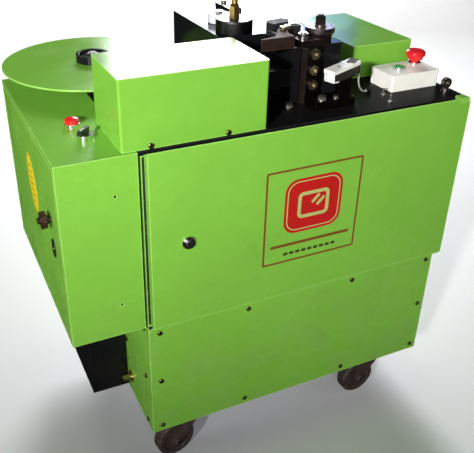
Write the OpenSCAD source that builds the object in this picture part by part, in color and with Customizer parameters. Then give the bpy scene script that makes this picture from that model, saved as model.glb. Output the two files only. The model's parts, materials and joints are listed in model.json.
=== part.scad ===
// Rebar bender: a castor-mounted cabinet machine with a hydraulic rack-and-pinion
// bending head, a turntable for bent rings, a control box and a push-button station.
// The layout is set out from the front left corner of the deck: X to the right,
// Y to the back, Z up from the deck. The last translation puts the floor at zero.

/* [Cabinet] */
// Height of the deck above the floor
deck_height = 843; // [830:1:860]
// Depth of the cabinet, front to back
cabinet_depth = 510; // [500:1:520]
// Left side of the cabinet
cabinet_left = 161; // [161:1:163]
// Right side of the cabinet
cabinet_right = 914; // [910:1:914]
// Bottom of the door compartment, below the deck
upper_bottom = -402; // [-404:1:-401]
// Bottom of the base compartment, below the deck
base_bottom = -714.5; // [-716:0.5:-714]
// Sheet thickness of the door compartment
sheet = 2.5; // [2:0.5:3]
// Thickness of the deck plate
deck_thickness = 8; // [6:1:8]

/* [Front door] */
// Left edge of the door
door_left = 166; // [166:1:168]
// Width of the door
door_width = 750; // [744:1:750]
// Depth of the folded door pan
door_depth = 18; // [16:1:18]
// Distance of the lock from the left edge of the door
door_lock_inset = 79; // [76:1:80]
// Height of the lock above the lower edge of the door
door_lock_height = 194; // [180:1:210]

/* [Control box] */
// Width of the control box with its side door
control_width = 155; // [150:1:155]
// Depth of the side door pan
side_door_depth = 14; // [12:1:14]

/* [Guards] */
// Length of the guard over the hydraulic cylinder
front_guard_length = 298; // [294:0.5:300]
// Depth of the guard over the hydraulic cylinder, front to back
front_guard_depth = 166; // [162:1:168]
// Height of the guard over the hydraulic cylinder
front_guard_height = 138; // [130:0.5:145]
// Width of the guard over the valve block
rear_guard_width = 166; // [162:1:168]
// Depth of the guard over the valve block, front to back
rear_guard_depth = 282; // [270:1:290]
// Height of the guard over the valve block
rear_guard_height = 76; // [72:1:90]

/* [Turntable] */
// Radius of the turntable disc
disc_radius = 206; // [190:1:206]
// Thickness of the turntable disc
disc_thickness = 4; // [3:1:5]

/* [Bending head] */
// Height of the head housing above the deck
head_height = 120; // [118:1:122]
// Diameter of the bending spindle
spindle_diameter = 24; // [22:1:26]
// Radius of the flange on top of the spindle
flange_radius = 32; // [28:1:33]
// Gear module of the rack and pinion
gear_module = 2.25; // [2.25:0.05:2.25]
// Number of teeth on the pinion
pinion_teeth = 18; // [18:1:18]

/* [Castors] */
// Radius of a castor wheel
wheel_radius = 50; // [48:1:50]
// Width of a castor wheel
wheel_width = 30; // [28:1:32]
// Distance from the swivel axis back to the axle
castor_trail = 36; // [30:1:38]

/* [Hidden] */
$fn = 64;

// colours
green = [0.42, 0.72, 0.22];
black = [0.09, 0.09, 0.11];
steel = [0.55, 0.53, 0.52];
tool_steel = [0.33, 0.27, 0.24];
bright = [0.82, 0.83, 0.85];
cream = [0.95, 0.94, 0.88];
red = [0.85, 0.08, 0.08];
brass = [0.75, 0.60, 0.28];

// centre of the whole machine, for the origin on the floor
knob_reach = 26;
lock_reach = 30;
deck_right = cabinet_right + 6;
disc_centre = [204, 452];
middle_x = (deck_right - knob_reach) / 2;
middle_y = (disc_centre[1] + disc_radius - lock_reach) / 2;

// running clearances
running = 0.06;
gap = 0.3;

// panels and frame
panel = 2;
angle_width = 40;
angle_thickness = 4;
panel_top = upper_bottom - 8;
screw_columns = [24, 236, 513, 734];
screw_rows = [panel_top - 16, (panel_top + base_bottom) / 2, base_bottom + 17.5];
side_screw_y = [30, cabinet_depth - 30];
left_screw_y = [30, 168];
screw_head_radius = 5.5;
screw_head_height = 3.5;
screw_hole = 3;

// front door
door_right = door_left + door_width;
door_back = -3;
door_front = door_back - door_depth;
door_top = -4;
door_bottom = upper_bottom + 7;
door_skin = 2;
door_lip = 4;
hinge_x = door_right - 5.5;
hinge_y = -12;
hinge_pin = 3;
door_lock_x = door_left + door_lock_inset;
door_lock_z = door_bottom + door_lock_height;
plug_radius = 8;

// control box and side door
box_left = side_door_depth + 3;
box_frame = 12;
side_top = -box_frame;
side_bottom = upper_bottom + box_frame;
side_back = cabinet_depth - box_frame;
side_hinge = [6.5, side_back - 5.5];
side_pin = 2.5;
side_lock_y = 75;
side_lock_z = -207;
knob_y = 77;
knob_z = -142;
knob_star = 20;

// guards
front_guard_corner = [127, 8];
rear_guard_corner = [750, 197];
guard_sheet = 2;
front_guard_size = [front_guard_length, front_guard_depth, front_guard_height];
rear_guard_size = [rear_guard_width, rear_guard_depth, rear_guard_height];
front_guard_screws = [184, 341];
guard_screw_z = 6.2;
rear_guard_screws = [60, 222];

// bending head
head_left = 430;
head_right = 653;
head_front = 110;
head_step_x = 536;
head_step_y = 235;
spindle_x = 622;
spindle_y = 150;
spindle_radius = spindle_diameter / 2;
bush_radius = spindle_radius + 5;
pitch_radius = gear_module * pinion_teeth / 2;
tooth_pitch = PI * gear_module;
rack_line = spindle_y - pitch_radius;
rack_back = 114.2;
rack_low = 50.5;
rack_high = 65.5;
rack_middle = (rack_low + rack_high) / 2;
rack_left = 480;
rack_right = spindle_x + 20;
rod_y = 120.5;
rod_radius = 10;
bore_radius = 25;
arm_low = head_height + 0.4;
arm_high = arm_low + 10.4;
flange_low = arm_high + 0.2;
flange_taper = 7;
flange_high = flange_low + 17;
stub_half = 7.5;
stub_height = 22;
roller_x = 572;
roller_y = 134;
bend_radius = 11;
bend_pin = 4;
clamp_front = 97;
clamp_left = 554;
clamp_right = 597;
clamp_screw_z = [108, 74, 42];
clamp_screw_x = 577;
reaction_plan = [[461, 109.5], [537, 109.5], [537, 136], [548, 158], [565, 168], [557, 183],
    [532, 172], [500, 124], [461, 113]];
reaction_height = 25;
reaction_screws = [[540, 164], [554.5, 171]];
block_screws = [[540.5, 405], [540.5, 455]];
block_height = 20;
guide_x = 481;
guide_y = 276;
small_x = 484;
small_y = 362;

// limit switch, turned away from the front and tilted a little to rise to the right
switch_tilt = 4;
switch_turn = 18;
switch_centre = [635, 71, 71.5];
lever_shift = [22, 14.4, 2];
switch_base = 20;
wire_from = 52.6;
wire_fall = 60;
wire_z = 73.1;
wire_bend = 6;
wire_sweep = 38;
wire_low = 5;
wire_radius = 1.75;

// push-button station and controls on the control box
station_corner = [779, 81];
station_size = [128, 80.5, 37.5];
station_lid = 6.9;
start_at = [825, 122];
stop_at = [882, 139];
selector_at = [85, 101];
lamp_at = [80, 176];
bezel_radius = 14.75;
bezel_height = 4.5;
selector_height = 9.5;

// bolts on the deck: x, y, height of the seat and size
deck_bolt_at = [[525, 96, 0, 5], [582, 60, switch_base, 5], [641, 83.5, switch_base, 3],
    [614, 56, switch_base, 3]];
stud_at = [[753, 76], [740, 34]];
eye_at = [896, 41];
post_flange = 8;
box_bolt_y = [80, 430];
box_bolt_z = [-340, -70];

// drive below the deck
motor_axis_y = 270;
cabinet_floor = upper_bottom + sheet;
motor_axis_z = cabinet_floor + 90;
motor_radius = 68;
shaft_radius = 12;

// pipe positions
suction_at = [620, 380];
return_at = [858, 318];
tank_return_x = 600;
tank_low = base_bottom + angle_thickness + 0.1;
pressure_at = [786, 290];
port_a = [812, 300];
port_b = [838, 300];

// castors: swivel axis positions and the way each one trails
castor_x = [264, 798];
castor_y = [48, 462];
castor_top = base_bottom - 4;
axle_z = wheel_radius - deck_height;
castor_turn = [188, 184, 196, 172];
axle_radius = 5.98;

module to_floor() translate([-middle_x, -middle_y, deck_height]) children();

module block(from, to) translate(from) cube(to - from);

module bar_x(x0, x1, y, z, r) translate([x0, y, z]) rotate([0, 90, 0]) cylinder(r = r, h = x1 - x0);

module bar_y(y0, y1, x, z, r) translate([x, y0, z]) rotate([-90, 0, 0]) cylinder(r = r, h = y1 - y0);

module bar_z(z0, z1, x, y, r) translate([x, y, z0]) cylinder(r = r, h = z1 - z0);

// a plate with rounded corners, seen from above
module rounded_plate(from, to, z0, z1, r) {
    translate([0, 0, z0]) linear_extrude(z1 - z0) {
        translate([from[0] + r, from[1]]) square([to[0] - from[0] - 2 * r, to[1] - from[1]]);
        translate([from[0], from[1] + r]) square([to[0] - from[0], to[1] - from[1] - 2 * r]);
        for (x = [from[0] + r, to[0] - r], y = [from[1] + r, to[1] - r])
            translate([x, y]) circle(r);
    }
}

// an angle-section rail along X: upright leg at y, flat leg at z
module angle_x(x0, x1, y, y_dir, z, z_dir) {
    w = angle_width;
    t = angle_thickness;
    block([x0, min(y, y + y_dir * t), min(z, z + z_dir * w)],
        [x1, max(y, y + y_dir * t), max(z, z + z_dir * w)]);
    block([x0, min(y, y + y_dir * w), min(z, z + z_dir * t)],
        [x1, max(y, y + y_dir * w), max(z, z + z_dir * t)]);
}

module angle_y(y0, y1, x, x_dir, z, z_dir) {
    w = angle_width;
    t = angle_thickness;
    block([min(x, x + x_dir * t), y0, min(z, z + z_dir * w)],
        [max(x, x + x_dir * t), y1, max(z, z + z_dir * w)]);
    block([min(x, x + x_dir * w), y0, min(z, z + z_dir * t)],
        [max(x, x + x_dir * w), y1, max(z, z + z_dir * t)]);
}

module angle_post(x, x_dir, y, y_dir) {
    w = angle_width;
    t = angle_thickness;
    block([min(x, x + x_dir * t), min(y, y + y_dir * w), base_bottom],
        [max(x, x + x_dir * t), max(y, y + y_dir * w), upper_bottom]);
    block([min(x, x + x_dir * w), min(y, y + y_dir * t), base_bottom],
        [max(x, x + x_dir * w), max(y, y + y_dir * t), upper_bottom]);
}

// every panel screw: front, back, left and right faces of the base compartment
module at_front_screws() {
    for (i = [0 : len(screw_columns) - 1], k = [0 : 2])
        if (k != 1 || i == 0 || i == 3)
            translate([cabinet_left + screw_columns[i], 0, screw_rows[k]]) children();
}

module at_panel_screws() {
    at_front_screws() rotate([90, 0, 0]) children();
    translate([0, cabinet_depth, 0]) at_front_screws() rotate([-90, 0, 0]) children();
    for (z = screw_rows) {
        for (y = left_screw_y) translate([cabinet_left, y, z]) rotate([0, -90, 0]) children();
        for (y = side_screw_y) translate([cabinet_right, y, z]) rotate([0, 90, 0]) children();
    }
}

// screws along the foot of each guard
module at_guard_screws() {
    for (x = front_guard_screws) {
        translate([x, front_guard_corner[1], guard_screw_z]) rotate([90, 0, 0]) children();
        translate([x, front_guard_corner[1] + front_guard_depth, guard_screw_z]) rotate([-90, 0, 0])
            children();
    }
    for (y = rear_guard_screws)
        translate([rear_guard_corner[0], rear_guard_corner[1] + y, guard_screw_z])
            rotate([0, -90, 0]) children();
}

// bolts around the flange of the turntable post
module at_post_bolts() {
    for (turn = [45 : 90 : 315]) translate([disc_centre[0], disc_centre[1], post_flange])
        rotate([0, 0, turn]) translate([34, 0, 0]) children();
}

// pan head standing on z = 0 with its shank below and a cross recess
module pan_screw(shank = 8) {
    difference() {
        union() {
            cylinder(r = screw_head_radius, h = screw_head_height - 1.2);
            translate([0, 0, screw_head_height - 1.2])
                cylinder(r1 = screw_head_radius, r2 = screw_head_radius - 1.6, h = 1.2);
            translate([0, 0, -shank]) cylinder(r = screw_hole - 0.1, h = shank);
        }
        for (turn = [0, 90]) rotate([0, 0, turn]) translate([-3, -0.6, screw_head_height - 1.6])
            cube([6, 1.2, 2]);
    }
}

// socket head standing on z = 0 with its shank below
module cap_screw(r, shank) {
    difference() {
        union() {
            cylinder(r = r * 1.75, h = r * 1.6);
            translate([0, 0, -shank]) cylinder(r = r - 0.1, h = shank);
        }
        translate([0, 0, r * 0.7]) cylinder(r = r, h = r, $fn = 6);
    }
}

// hex bolt head with a washer, standing on z = 0
module hex_bolt(r, shank) {
    cylinder(r = r * 2.1, h = 2);
    translate([0, 0, 2]) cylinder(r = r * 1.75, h = r * 1.3, $fn = 6);
    translate([0, 0, -shank]) cylinder(r = r - 0.1, h = shank);
}

module base_frame() {
    welded_frame();
    castor_plates();
}

module welded_frame() color(black) difference() {
    union() {
        x0 = cabinet_left + panel;
        x1 = cabinet_right - panel;
        y0 = panel;
        y1 = cabinet_depth - panel;
        angle_post(x0, 1, y0, 1);
        angle_post(x1, -1, y0, 1);
        angle_post(x0, 1, y1, -1);
        angle_post(x1, -1, y1, -1);
        for (end = [[base_bottom, 1], [upper_bottom, -1]]) {
            angle_x(x0, x1, y0, 1, end[0], end[1]);
            angle_x(x0, x1, y1, -1, end[0], end[1]);
            angle_y(y0, y1, x0, 1, end[0], end[1]);
            angle_y(y0, y1, x1, -1, end[0], end[1]);
        }
        // castor pads across the corners
        for (x = castor_x, y = [panel, cabinet_depth - panel - 100])
            block([x - 55, y, base_bottom], [x + 55, y + 100, base_bottom + angle_thickness]);
        // tank bearers
        for (x = [230, 560])
            block([x, y0, base_bottom], [x + 40, y1, base_bottom + angle_thickness]);
    }
    at_panel_screws() translate([0, 0, -20]) cylinder(r = screw_hole, h = 20);
    bar_x(cabinet_left, cabinet_left + 10, 147, -663, 19);
}

// top plates of the castors, each with the king pin that its fork turns on
module castor_plates() color(black) for (x = castor_x, y = castor_y) {
    translate([x, y, 0]) {
        rounded_plate([-52, -42], [52, 42], castor_top, base_bottom - 0.1, 6);
        translate([0, 0, castor_top - 20]) cylinder(r = 8, h = 20);
        for (dx = [-40, 40], dy = [-31, 31]) translate([dx, dy, castor_top]) mirror([0, 0, 1])
            cylinder(r = 7, h = 6, $fn = 6);
    }
}

module lower_panels() color(green) difference() {
    union() {
        // front panel, its top left corner cut away
        translate([0, panel, 0]) rotate([90, 0, 0]) linear_extrude(panel) polygon([
            [cabinet_left, base_bottom], [cabinet_right, base_bottom],
            [cabinet_right, panel_top], [cabinet_left + 8, panel_top],
            [cabinet_left, panel_top - 8]]);
        block([cabinet_left, cabinet_depth - panel, base_bottom],
            [cabinet_right, cabinet_depth, panel_top]);
        block([cabinet_left, panel + 0.2, base_bottom],
            [cabinet_left + panel, cabinet_depth - panel - 0.2, panel_top]);
        block([cabinet_right - panel, panel + 0.2, base_bottom],
            [cabinet_right, cabinet_depth - panel - 0.2, panel_top]);
    }
    at_panel_screws() translate([0, 0, -4]) cylinder(r = screw_hole, h = 8);
    bar_x(cabinet_left - 1, cabinet_left + 5, 147, -663, 12);
    // louvres at the back
    for (i = [0 : 7])
        block([330, cabinet_depth - 5, -660 + i * 26], [745, cabinet_depth + 1, -652 + i * 26]);
}

module panel_screws() color(bright) {
    at_panel_screws() pan_screw();
    at_guard_screws() pan_screw(6);
}

module upper_cabinet() color(green) difference() {
    block([cabinet_left, 0, upper_bottom], [cabinet_right, cabinet_depth, -deck_thickness]);
    block([cabinet_left + sheet, sheet, upper_bottom + sheet],
        [cabinet_right - sheet, cabinet_depth - sheet, 1]);
    // door opening with its folded flange left standing
    block([cabinet_left + 25, -1, upper_bottom + 25], [cabinet_right - 25, 10, -33]);
    // cable opening to the control box
    bar_x(cabinet_left - 1, cabinet_left + 5, 330, -200, 24);
    // suction and return pipes go down to the tank
    for (p = [suction_at, return_at]) bar_z(upper_bottom - 1, upper_bottom + 5, p[0], p[1], 15);
    for (i = [0 : 9])
        block([330, cabinet_depth - 5, -330 + i * 24], [745, cabinet_depth + 1, -322 + i * 24]);
    // bolts to the control box
    for (y = box_bolt_y, z = box_bolt_z) bar_x(cabinet_left - 1, cabinet_left + 5, y, z, 5);
}

module deck_plate() color(black) difference() {
    block([cabinet_left - 3, 2, -deck_thickness], [deck_right, cabinet_depth, 0]);
    for (x = [172, 407]) bar_z(-10, 1, x, rod_y, 11);
    for (p = [pressure_at, port_a, port_b, return_at]) bar_z(-10, 1, p[0], p[1], 11);
    bar_z(-10, 1, 815, 122, 12);
    for (b = deck_bolt_at) bar_z(-10, 1, b[0], b[1], b[3]);
    for (p = stud_at) bar_z(-10, 1, p[0], p[1], 2.5);
    bar_z(-10, 1, eye_at[0], eye_at[1], 5);
    at_post_bolts() translate([0, 0, -20]) cylinder(r = 4, h = 20);
}

// hex bolt holding the control box to the cabinet, with a spacer between the two
module box_bolt() {
    bar_x(control_width - 4, cabinet_left + 10, 0, 0, 4.9);
    bar_x(control_width + 0.1, cabinet_left - 0.1, 0, 0, 10);
    translate([control_width - 9, 0, 0]) rotate([0, 90, 0]) cylinder(r = 9, h = 6.9, $fn = 6);
    translate([cabinet_left + sheet + 0.1, 0, 0]) rotate([0, 90, 0]) cylinder(r = 9, h = 7, $fn = 6);
}

module machine_bolts() color(bright) {
    for (b = deck_bolt_at) translate([b[0], b[1], b[2]]) hex_bolt(b[3], b[2] + deck_thickness);
    for (p = stud_at) {
        bar_z(-deck_thickness, 0, p[0], p[1], 2.4);
        bar_z(0, 3, p[0], p[1], 5);
        bar_z(3, 16, p[0], p[1], 2.5);
    }
    at_post_bolts() hex_bolt(4, post_flange + deck_thickness);
    for (y = box_bolt_y, z = box_bolt_z) translate([0, y, z]) box_bolt();
    // lifting eye
    translate([eye_at[0], eye_at[1], 0]) {
        bar_z(-deck_thickness, 0, 0, 0, 4.9);
        bar_z(0, 5, 0, 0, 10);
        bar_z(5, 12, 0, 0, 5);
        difference() {
            bar_y(-5, 5, 0, 20, 11.5);
            bar_y(-6, 6, 0, 20, 5.5);
        }
    }
}

module front_door() color(green) difference() {
    union() {
        difference() {
            block([door_left, door_front, door_bottom], [door_right, door_back, door_top]);
            block([door_left + door_skin, door_front + door_skin, door_bottom + door_skin],
                [door_right - door_skin, door_back - 2, door_top - door_skin]);
            block([door_left + 14, door_front + 5, door_bottom + 14],
                [door_right - 14, door_back + 1, door_top - 14]);
        }
        for (z = [door_bottom, door_top - 18])
            block([hinge_x - 8, door_front + 1, z], [door_right - 1, door_back, z + 18]);
        // lip that hides the front edge of the deck
        block([door_left, door_front, door_top - 1],
            [hinge_x - 20, door_front + door_skin, door_lip]);
    }
    bar_z(door_top - 14, door_top + 1, hinge_x, hinge_y, hinge_pin + running);
    bar_z(door_bottom - 1, door_bottom + 14, hinge_x, hinge_y, hinge_pin + running);
    bar_y(door_front - 1, door_front + 4, door_lock_x, door_lock_z, 11.1);
}

module door_hinges() color(green) {
    // front door: a bracket and a pin at the top and at the bottom
    block([hinge_x - 18, -20, door_top + 0.4], [cabinet_right, 2, door_lip - 0.4]);
    bar_z(door_top - 12, door_top + 0.4, hinge_x, hinge_y, hinge_pin);
    block([hinge_x - 18, -20, door_bottom - 3.4], [cabinet_right, 0, door_bottom - 0.4]);
    bar_z(door_bottom - 0.4, door_bottom + 12, hinge_x, hinge_y, hinge_pin);
    // side door
    block([1, side_hinge[1] - 10, side_top + 0.4], [box_left, side_hinge[1] + 6, side_top + 2.9]);
    bar_z(side_top - 12, side_top + 0.4, side_hinge[0], side_hinge[1], side_pin);
    block([1, side_hinge[1] - 10, side_bottom - 2.9], [box_left, side_hinge[1] + 6, side_bottom - 0.4]);
    bar_z(side_bottom - 0.4, side_bottom + 12, side_hinge[0], side_hinge[1], side_pin);
}

module door_lock_housing() color(bright) difference() {
    union() {
        bar_y(door_front - 3, door_front, door_lock_x, door_lock_z, 14.5);
        translate([door_lock_x, door_front - 3, door_lock_z]) rotate([90, 0, 0])
            cylinder(r1 = 14.5, r2 = 12, h = 3);
        bar_y(door_front, door_front + door_skin, door_lock_x, door_lock_z, 11);
        translate([door_lock_x, door_front + door_skin, door_lock_z]) rotate([-90, 0, 0])
            cylinder(r = 15, h = 5, $fn = 6);
    }
    bar_y(door_front - 8, door_front + 10, door_lock_x, door_lock_z, plug_radius + running);
}

module door_lock_plug() color(steel) difference() {
    union() {
        bar_y(-lock_reach, 6.2, door_lock_x, door_lock_z, plug_radius);
        block([door_lock_x - 8, 3.2, door_lock_z - 68], [door_lock_x + 8, 6.2, door_lock_z]);
    }
    block([door_lock_x - 1, -lock_reach - 1, door_lock_z - 5],
        [door_lock_x + 1, -lock_reach + 3, door_lock_z + 5]);
}

module control_box() color(green) difference() {
    block([0, 0, upper_bottom], [control_width, cabinet_depth, 0]);
    block([box_left + 2, 2, upper_bottom + 2], [control_width - 2, cabinet_depth - 2, -2]);
    // rebate that the side door closes into, its stop behind, and pockets of the hinges
    block([-1, box_frame - 1, side_bottom - 1], [box_left, side_back + 3.5, side_top + 1]);
    block([box_left - 1, 22, upper_bottom + 22], [box_left + 5, cabinet_depth - 22, -22]);
    for (z = [side_bottom - 3.2, side_top])
        block([-1, side_hinge[1] - 10.2, z], [box_left, side_hinge[1] + 6.2, z + 3.2]);
    bar_z(-5, 1, selector_at[0], selector_at[1], 11);
    bar_z(-5, 1, lamp_at[0], lamp_at[1], 11);
    bar_x(control_width - 5, control_width + 1, 330, -200, 24);
    for (y = box_bolt_y, z = box_bolt_z) bar_x(control_width - 5, control_width + 1, y, z, 5);
    // two small fixing holes in the front
    for (z = [-80, -327]) bar_y(-1, 5, 108, z, 3);
}

module side_door() color(green) difference() {
    union() {
        difference() {
            block([0, box_frame, side_bottom], [side_door_depth, side_back, side_top]);
            block([2, box_frame + 2, side_bottom + 2],
                [side_door_depth + 1, side_back - 2, side_top - 2]);
        }
        for (z = [side_bottom, side_top - 16])
            block([1, side_hinge[1] - 7, z], [side_door_depth, side_back - 0.5, z + 16]);
    }
    bar_z(side_top - 14, side_top + 1, side_hinge[0], side_hinge[1], side_pin + running);
    bar_z(side_bottom - 1, side_bottom + 14, side_hinge[0], side_hinge[1], side_pin + running);
    bar_x(-1, 5, side_lock_y, side_lock_z, 7 + running);
    bar_x(-1, 5, knob_y, knob_z, 5 + running);
}

module side_lock_plug() color(bright) difference() {
    union() {
        bar_x(-3, -gap, side_lock_y, side_lock_z, 9);
        bar_x(-gap, 23, side_lock_y, side_lock_z, 7);
        block([20, side_lock_y - 7, side_lock_z - 64], [23, side_lock_y + 7, side_lock_z]);
    }
    block([-4, side_lock_y - 0.8, side_lock_z - 4], [0, side_lock_y + 0.8, side_lock_z + 4]);
}

module latch_knob() color(black) {
    difference() {
        bar_x(-knob_star, -9, knob_y, knob_z, 17.5);
        for (turn = [0 : 72 : 288]) translate([0, knob_y, knob_z]) rotate([turn, 0, 0])
            translate([0, 0, 21]) bar_x(-knob_star - 1, -8, 0, 0, 6);
    }
    bar_x(-knob_reach, -knob_star, knob_y, knob_z, 6.5);
    bar_x(-9, -gap, knob_y, knob_z, 9);
    bar_x(-gap, 12, knob_y, knob_z, 5);
    block([9, knob_y - 7, knob_z - 30], [12, knob_y + 7, knob_z]);
}

module support_column() color(black) difference() {
    block([70, 179, base_bottom], [cabinet_left, cabinet_depth, upper_bottom]);
    block([73, 182, base_bottom + 3], [cabinet_left - 3, cabinet_depth - 3, upper_bottom - 3]);
}

module drain_plug() color(brass) {
    bar_x(cabinet_left - 3, cabinet_left, 147, -663, 15);
    bar_x(cabinet_left - 8, cabinet_left - 3, 147, -663, 9);
    translate([cabinet_left - 24, 147, -663]) rotate([0, 90, 0]) cylinder(r = 8, h = 16, $fn = 6);
    bar_x(cabinet_left, cabinet_left + 24, 147, -663, 8);
}

module guard(corner, size, r) {
    far = [corner[0] + size[0], corner[1] + size[1]];
    t = guard_sheet;
    difference() {
        rounded_plate(corner, far, 0, size[2], r);
        rounded_plate(corner + [t, t], far - [t, t], -1, size[2] - t, r - t);
    }
}

module front_guard() color(green) difference() {
    guard(front_guard_corner, front_guard_size, 5);
    at_guard_screws() translate([0, 0, -4]) cylinder(r = screw_hole, h = 8);
    // the piston rod leaves through the right end
    block([420, 106, 40], [430, 146, 78]);
}

module rear_guard() color(green) difference() {
    guard(rear_guard_corner, rear_guard_size, 5);
    at_guard_screws() translate([0, 0, -4]) cylinder(r = screw_hole, h = 8);
}

module turntable_post() color(steel) translate([disc_centre[0], disc_centre[1], 0]) {
    difference() {
        cylinder(r = 43, h = post_flange);
        for (turn = [45 : 90 : 315]) rotate([0, 0, turn]) translate([34, 0, -1])
            cylinder(r = 4, h = 20);
    }
    cylinder(r = 22, h = 28);
    cylinder(r = 12, h = 50);
    translate([0, 0, 50]) cylinder(r = 13, h = 5, $fn = 6);
    cylinder(r = 7, h = 58);
}

module turntable_disc() color(green) translate([disc_centre[0], disc_centre[1], 33])
    difference() {
        cylinder(r = disc_radius, h = disc_thickness, $fn = 128);
        translate([0, 0, -1]) cylinder(r = 20.05, h = 10);
    }

module turntable_hub() color(black) translate([disc_centre[0], disc_centre[1], 0])
    difference() {
        union() {
            translate([0, 0, 28.3]) cylinder(r = 20, h = 9);
            translate([0, 0, 33.05 + disc_thickness]) cylinder(r = 38.5, h = 17.95);
        }
        translate([0, 0, 49]) cylinder(r = 31, h = 10);
        translate([0, 0, 28]) cylinder(r = 12 + running, h = 22);
    }

// housing outline: a narrow nose at the front, wide at the back
module head_outline(inset = 0) {
    polygon([[head_left + inset, head_step_y + inset], [head_step_x + inset, head_step_y + inset],
        [head_step_x + inset, head_front + inset], [head_right - inset, head_front + inset],
        [head_right - inset, cabinet_depth - inset], [head_left + inset, cabinet_depth - inset]]);
}

module head_housing() color(black) {
    // raised block behind the rollers
    difference() {
        block([524, 391, head_height + 0.1], [557, 469, head_height + block_height]);
        for (p = block_screws) bar_z(head_height, head_height + 30, p[0], p[1], 4);
    }
    difference() {
        linear_extrude(head_height) head_outline();
        // hollow behind the gear case
        block([head_left + 10, head_step_y + 10, -1],
            [head_right - 10, cabinet_depth - 10, head_height - 14]);
        // rack way, pinion chamber and spindle bore
        block([head_step_x - 1, rack_back - gap, rack_low - gap],
            [head_right + 1, rack_line + gear_module + gap, rack_high + gap]);
        bar_z(rack_low - 2, rack_high + 2, spindle_x, spindle_y, pitch_radius + gear_module + 2);
        bar_z(18, head_height + 1, spindle_x, spindle_y, bush_radius);
        for (z = clamp_screw_z) bar_y(head_front - 1, 136, clamp_screw_x, z, 6);
        bar_z(head_height - 20, head_height + 1, guide_x, guide_y, 10.1);
        bar_z(head_height - 20, head_height + 1, small_x, small_y, 6.1);
    }
    // rack tunnel between the guard and the nose
    difference() {
        block([front_guard_corner[0] + front_guard_size[0], 106, 40], [head_step_x, 146, 78]);
        block([420, 108, 42], [540, 144, 76]);
    }
    // cap over the far end of the rack
    difference() {
        block([head_right, 111, 47], [695, 137, 69]);
        block([head_right - 1, rack_back - gap, rack_low - gap],
            [692.5, rack_line + gear_module + gap, rack_high + gap]);
    }
}

module clamp_plate() color(tool_steel) difference() {
    linear_extrude(head_height - 0.5) polygon([[clamp_left, head_front], [clamp_left, clamp_front + 9],
        [clamp_left + 9, clamp_front], [clamp_right, clamp_front], [clamp_right, head_front]]);
    for (z = clamp_screw_z) bar_y(clamp_front - 1, head_front + 1, clamp_screw_x, z, 6);
}

module cap_screws() color(bright) {
    for (z = clamp_screw_z) translate([clamp_screw_x, clamp_front, z]) rotate([90, 0, 0])
        cap_screw(6, 36);
    // on the reaction bar
    for (s = reaction_screws) translate([s[0], s[1], head_height + reaction_height])
        cap_screw(4, 14);
    // on the raised block
    for (p = block_screws) translate([p[0], p[1], head_height + block_height])
        cap_screw(4, block_height - 0.2);
}

module spindle() color(steel) difference() {
    union() {
        bar_z(20, flange_low, spindle_x, spindle_y, spindle_radius);
        translate([spindle_x, spindle_y, flange_low])
            cylinder(r1 = flange_radius - 4, r2 = flange_radius, h = flange_taper);
        bar_z(flange_low + flange_taper, flange_high, spindle_x, spindle_y, flange_radius);
        bar_z(flange_high, flange_high + 3, spindle_x, spindle_y, 12);
        block([spindle_x - stub_half, spindle_y - stub_half, flange_high],
            [spindle_x + stub_half, spindle_y + stub_half, flange_high + stub_height]);
        translate([spindle_x, spindle_y, flange_high + stub_height])
            cylinder(r1 = stub_half - 0.3, r2 = stub_half - 2.5, h = 3);
    }
    for (turn = [30 : 60 : 330]) translate([spindle_x, spindle_y, flange_high - 4])
        rotate([0, 0, turn]) translate([23, 0, 0]) cylinder(r = 2.5, h = 5);
}

module spindle_bushes() color(brass) difference() {
    union() {
        bar_z(20, rack_low - 2.5, spindle_x, spindle_y, bush_radius - 0.05);
        bar_z(rack_high + 2.5, head_height - 1, spindle_x, spindle_y, bush_radius - 0.05);
    }
    bar_z(10, head_height + 1, spindle_x, spindle_y, spindle_radius + running);
}

// involute flank: angle and radius for a roll angle t in degrees
base_radius = pitch_radius * cos(20);
function roll_at(r) = sqrt(pow(r / base_radius, 2) - 1) * 180 / PI;
function involute_angle(r) = roll_at(r) - atan(roll_at(r) * PI / 180);
pinion_tip = pitch_radius + gear_module;
pinion_root = pitch_radius - 1.25 * gear_module;
backlash = 0.25;
half_tooth = 90 / pinion_teeth - backlash / 2 / pitch_radius * 180 / PI;
flank_steps = 5;
function flank_radius(i) = base_radius + (pinion_tip - base_radius) * i / flank_steps;
function half_angle(r) = half_tooth + involute_angle(pitch_radius) - involute_angle(r);
function polar(r, a) = [r * cos(a), r * sin(a)];
function tooth(centre) = concat(
    [polar(pinion_root, centre - half_angle(base_radius))],
    [for (i = [0 : flank_steps]) polar(flank_radius(i), centre - half_angle(flank_radius(i)))],
    [for (i = [flank_steps : -1 : 0]) polar(flank_radius(i), centre + half_angle(flank_radius(i)))],
    [polar(pinion_root, centre + half_angle(base_radius))]);

module pinion() color(steel) translate([spindle_x, spindle_y, rack_low]) difference() {
    linear_extrude(rack_high - rack_low)
        polygon([for (k = [0 : pinion_teeth - 1], p = tooth(270 + k * 360 / pinion_teeth)) p]);
    translate([0, 0, -1]) cylinder(r = spindle_radius + 0.02, h = 30);
}

// rack outline, with the gap between two teeth centred on the spindle
rack_root = rack_line - 1.25 * gear_module;
rack_tip = rack_line + gear_module;
half_root = tooth_pitch / 4 + 1.25 * gear_module * tan(20) - backlash / 2;
half_tip = tooth_pitch / 4 - gear_module * tan(20) - backlash / 2;
function rack_tooth(x) = [[x + half_root, rack_root], [x + half_tip, rack_tip],
    [x - half_tip, rack_tip], [x - half_root, rack_root]];

module rack() color(steel) translate([0, 0, rack_low]) linear_extrude(rack_high - rack_low)
    polygon(concat([[rack_left, rack_back], [rack_right, rack_back], [rack_right, rack_root]],
        [for (k = [1 : -1 : -9], p = rack_tooth(spindle_x + (k + 0.5) * tooth_pitch)) p],
        [[rack_left, rack_root]]));

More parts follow.
